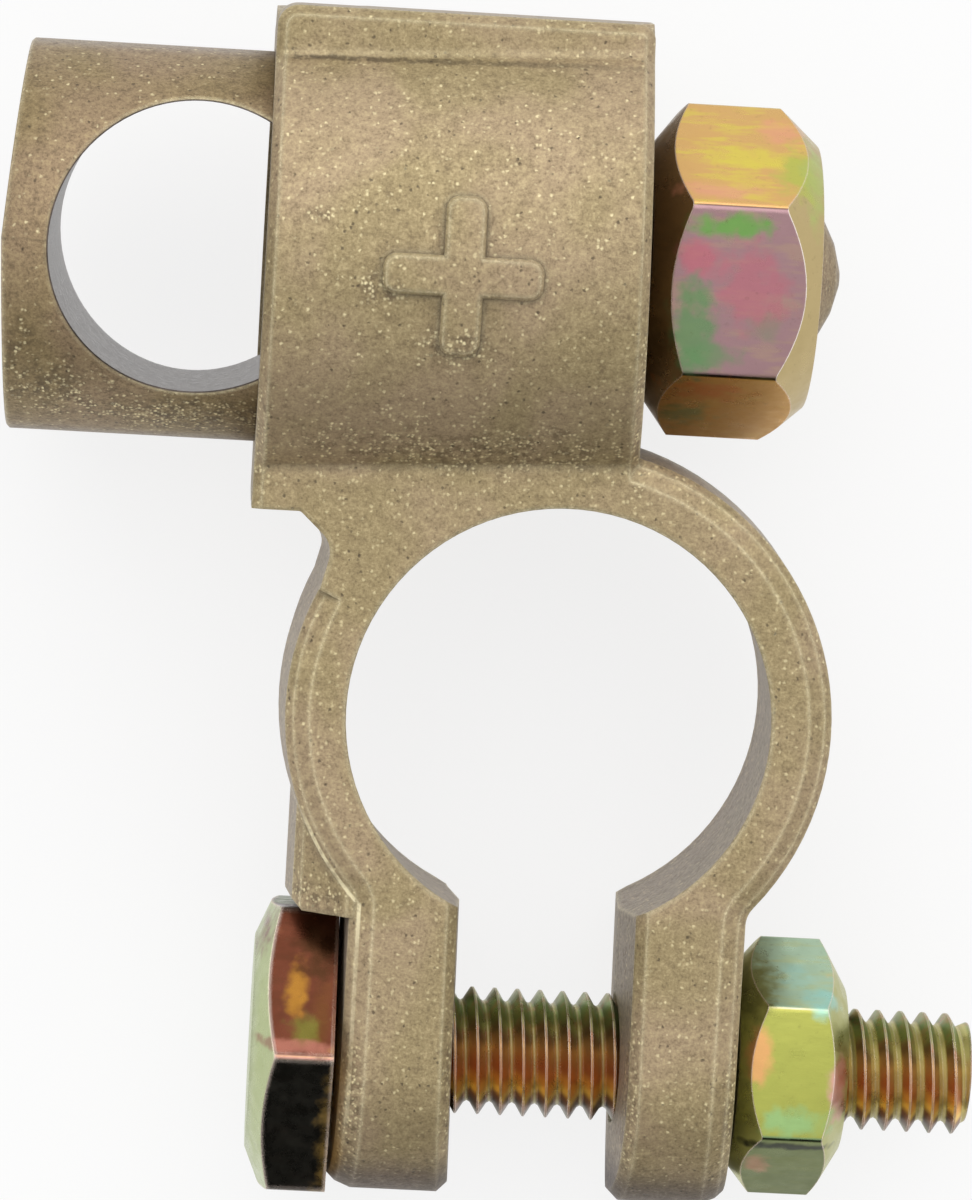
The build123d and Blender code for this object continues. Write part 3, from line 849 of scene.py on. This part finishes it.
def makeFloor(settings):
    back = cameraTurn @ Vector((0, 0, 1))
    lowest = min(back.dot(v.co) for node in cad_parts.values() for v in node.data.vertices)
    shape = bmesh.new()
    bmesh.ops.create_grid(shape, x_segments=1, y_segments=1, size=settings["size"] / 2)
    place = Matrix.Translation(back * (lowest - settings["gap"])) @ cameraTurn.to_4x4()
    bmesh.ops.transform(shape, matrix=place, verts=shape.verts)
    floor = objectFrom("floor", shape)
    material = bpy.data.materials.new("floorWhite")
    material.use_nodes = True
    tree = material.node_tree
    tree.nodes.clear()
    matt = addNode(tree, "ShaderNodeBsdfDiffuse", None, Color=(settings["white"],) * 3 + (1,))
    glow = addNode(tree, "ShaderNodeEmission", None, Strength=1.0)
    mix = addNode(tree, "ShaderNodeMixShader", None, Fac=seenShare(tree, settings["glow"]))
    tree.links.new(matt.outputs[0], mix.inputs[1])
    tree.links.new(glow.outputs[0], mix.inputs[2])
    addNode(tree, "ShaderNodeOutputMaterial", None, Surface=mix.outputs[0])
    floor.data.materials.append(material)


makeFloor(floorSettings)
print("floor laid")


# a wide soft box above the housing, a pale room, and a dark card that only shines in the metal
lightSettings = {
    "middle": (0, 0.004, 0.0065),
    "boxFrom": (0.05, 0.55, 0.80),    # camera's right, up and back
    "boxSize": 1.2,
    "boxWatts": 5.2,
    "room": (0.56, 0.84),             # from the ears' side, from the housing's side
    "cardAngle": -82,                 # degrees from the camera, towards the ears
    "cardAway": 0.26,
    "cardSize": (0.7, 0.27),
}


def makeLights(settings):
    middle = Vector(settings["middle"])
    data = bpy.data.lights.new("softBox", "AREA")
    data.shape = "SQUARE"
    data.size = settings["boxSize"]
    data.energy = settings["boxWatts"]
    lamp = bpy.data.objects.new("softBox", data)
    away = cameraTurn @ Vector(settings["boxFrom"])
    lamp.matrix_world = Matrix.Translation(middle + away) @ away.to_track_quat("Z", "Y").to_matrix().to_4x4()
    bpy.context.scene.collection.objects.link(lamp)
    world = bpy.data.worlds.new("room")
    bpy.context.scene.world = world
    world.use_nodes = True
    tree = world.node_tree
    tree.nodes.clear()
    where = tree.nodes.new("ShaderNodeTexCoord")
    side = addNode(tree, "ShaderNodeSeparateXYZ", None, Vector=where.outputs["Generated"])
    strength = remap(tree, side.outputs["Y"], -1.0, 1.0, *settings["room"])
    room = addNode(tree, "ShaderNodeBackground", None, Strength=strength)
    white = addNode(tree, "ShaderNodeBackground", None, Strength=1.0)
    for background in (room, white):
        background.inputs["Color"].default_value = (1, 1, 1, 1)
    mix = addNode(tree, "ShaderNodeMixShader", None, Fac=seenShare(tree, 1.0))
    tree.links.new(room.outputs[0], mix.inputs[1])
    tree.links.new(white.outputs[0], mix.inputs[2])
    addNode(tree, "ShaderNodeOutputWorld", None, Surface=mix.outputs[0])


def makeDarkCard(settings):
    angle = math.radians(settings["cardAngle"])
    away = cameraTurn @ Vector((0, math.sin(angle), math.cos(angle)))
    shape = bmesh.new()
    bmesh.ops.create_grid(shape, x_segments=1, y_segments=1, size=0.5)
    bmesh.ops.scale(shape, vec=settings["cardSize"] + (1,), verts=shape.verts)
    place = Matrix.Translation(Vector(settings["middle"]) + away * settings["cardAway"])
    side = cameraTurn @ Vector((1, 0, 0))
    turned = Matrix((side, away.cross(side), away)).transposed().to_4x4()
    bmesh.ops.transform(shape, matrix=place @ turned, verts=shape.verts)
    card = objectFrom("darkCard", shape)
    material = bpy.data.materials.new("cardBlack")
    material.use_nodes = True
    shader = material.node_tree.nodes["Principled BSDF"]
    shader.inputs["Base Color"].default_value = (0.01, 0.01, 0.01, 1)
    shader.inputs["Roughness"].default_value = 1.0
    card.data.materials.append(material)
    card.visible_camera = False
    card.visible_diffuse = False
    card.visible_shadow = False
    card.visible_transmission = False


makeLights(lightSettings)
makeDarkCard(lightSettings)
print("lights set")
bpy.context.scene.view_settings.view_transform = "Standard"
